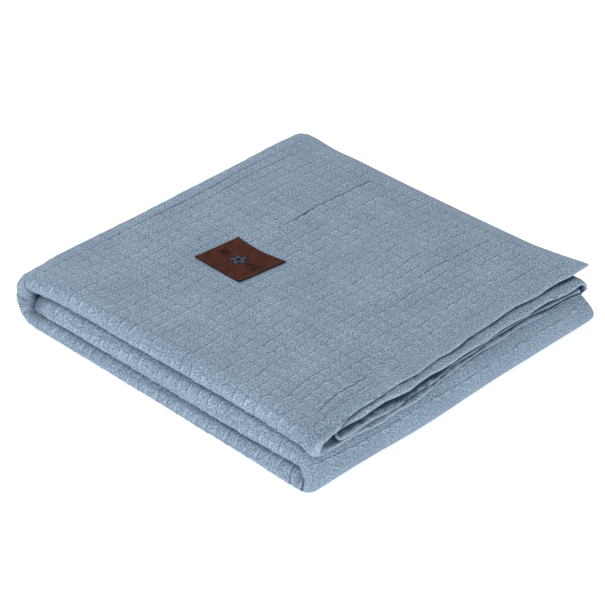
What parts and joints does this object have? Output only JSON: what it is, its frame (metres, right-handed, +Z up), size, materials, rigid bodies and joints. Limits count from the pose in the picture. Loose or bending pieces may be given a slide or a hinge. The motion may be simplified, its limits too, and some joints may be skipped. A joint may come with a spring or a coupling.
{
  "type": "folded blanket",
  "caption": "Pique cotton blanket folded into a flat square stack of layers, with rolled front edges, free hems at the side and back, and a small leather patch sewn on top",
  "frame": {"origin": "on the floor, under the middle of the folded stack's box", "axes": "+Z up; +X towards the side with the free hems of the top panel; -Y towards the rolled front edges"},
  "size_m": [0.3782, 0.3642, 0.0647],
  "materials": {
    "pique_cotton": "light steel blue woven cotton with a raised brick weave",
    "brown_leather": "dark brown matt leather"
  },
  "bodies": {
    "root": {"pique_cloth": "pique_cotton", "leather_patch": "brown_leather"}
  },
  "joints": []
}
